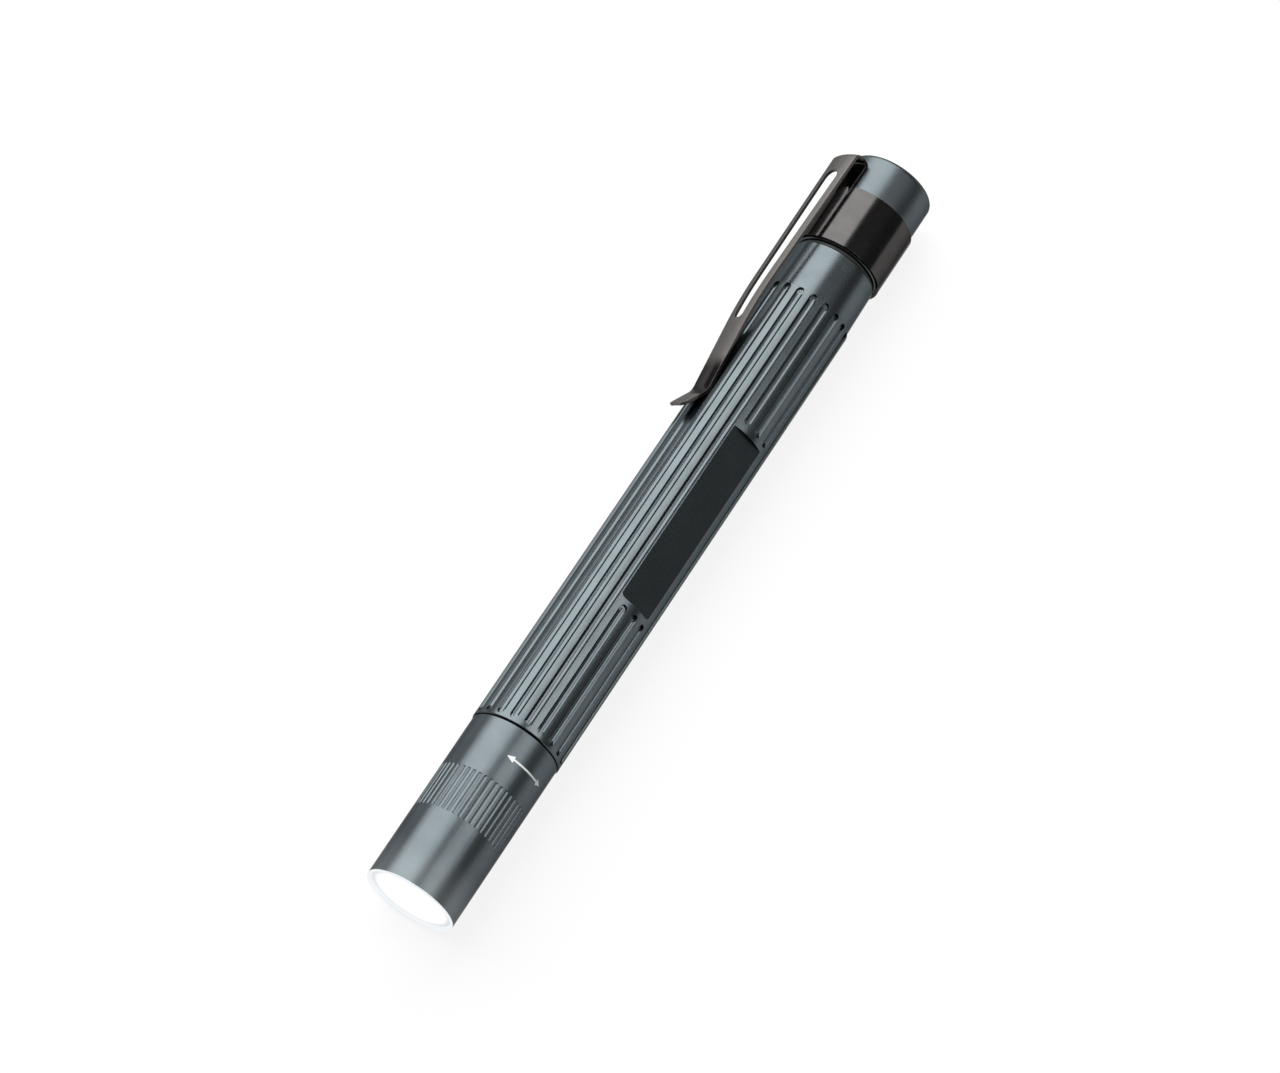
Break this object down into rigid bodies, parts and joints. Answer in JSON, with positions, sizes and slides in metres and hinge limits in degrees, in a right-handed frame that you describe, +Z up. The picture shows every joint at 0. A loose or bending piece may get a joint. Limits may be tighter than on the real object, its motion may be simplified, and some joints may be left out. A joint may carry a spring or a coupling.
{
  "type": "penlight",
  "caption": "Slim ribbed penlight with a twist-to-focus head, a recessed tail push button in a screw-off cap, a milled flat and a slotted steel pocket clip.",
  "frame": {"origin": "centre of the flat ring at the tail end", "axes": "+X from the tail to the head, the way the beam leaves; +Z up as the light lies in the picture; +Y to the side the flat leans to, with the clip leaning to -Y"},
  "size_m": [0.1463, 0.0169, 0.0169],
  "materials": {
    "anodised_body": "satin gunmetal anodising",
    "clip_steel": "glossy black nickel plate",
    "seal": "matte black rubber",
    "clear_optic": "clear polished acrylic",
    "heat_sink": "bare turned metal",
    "contact_brass": "bright brass",
    "spring_steel": "bright wire",
    "board_white": "white solder mask",
    "board_green": "green solder mask",
    "emitter": "ceramic and phosphor",
    "black_plastic": "black moulded plastic",
    "lead_cover": "red wire cover",
    "button_rubber": "soft black rubber",
    "cell_can": "plain metal can"
  },
  "bodies": {
    "barrel": {"barrel": "anodised_body", "tail_oring": "seal", "led_pill": "heat_sink", "led_board": "board_white", "led_emitter": "emitter", "led_dome": "clear_optic", "led_leads": "lead_cover", "driver_board": "board_green", "driver_components": "black_plastic", "driver_insulator": "black_plastic", "driver_spring": "contact_brass", "cell_front": "cell_can", "cell_rear": "cell_can"},
    "focus_seal": {"focus_oring": "seal"},
    "head": {"head_sleeve": "anodised_body", "lens": "clear_optic", "lens_gasket": "seal"},
    "clip": {"pocket_clip": "clip_steel"},
    "tail": {"tail_cap": "anodised_body", "button_oring": "seal", "button_spring": "spring_steel", "switch_housing": "black_plastic", "switch_dome": "spring_steel", "switch_contact": "contact_brass", "switch_ring": "contact_brass", "tail_spring": "spring_steel"},
    "button": {"tail_button": "button_rubber"}
  },
  "joints": [
    {"name": "focus_slide", "type": "slide", "parent": "barrel", "child": "focus_seal", "axis": [1, 0, 0], "range_m": [0, 0.004]},
    {"name": "focus_twist", "type": "hinge", "parent": "focus_seal", "child": "head", "pos_m": [0.1199, 0, 0], "axis": [1, 0, 0], "range_deg": [0, 120]},
    {"name": "tail_slide", "type": "slide", "parent": "barrel", "child": "clip", "axis": [-1, 0, 0], "range_m": [0, 0.006]},
    {"name": "tail_unscrew", "type": "hinge", "parent": "clip", "child": "tail", "pos_m": [0.0125, 0, 0], "axis": [-1, 0, 0], "range_deg": [0, 1440]},
    {"name": "button_press", "type": "slide", "parent": "tail", "child": "button", "axis": [1, 0, 0], "range_m": [0, 0.0012], "stiffness_N_per_m": 800, "springref_m": -0.0004, "deforming": ["button_spring"]}
  ],
  "couplings": [
    {"joint": "focus_slide", "follows": "focus_twist", "m_per_rad": 0.0019099},
    {"joint": "tail_slide", "follows": "tail_unscrew", "m_per_rad": 0.00023873}
  ]
}
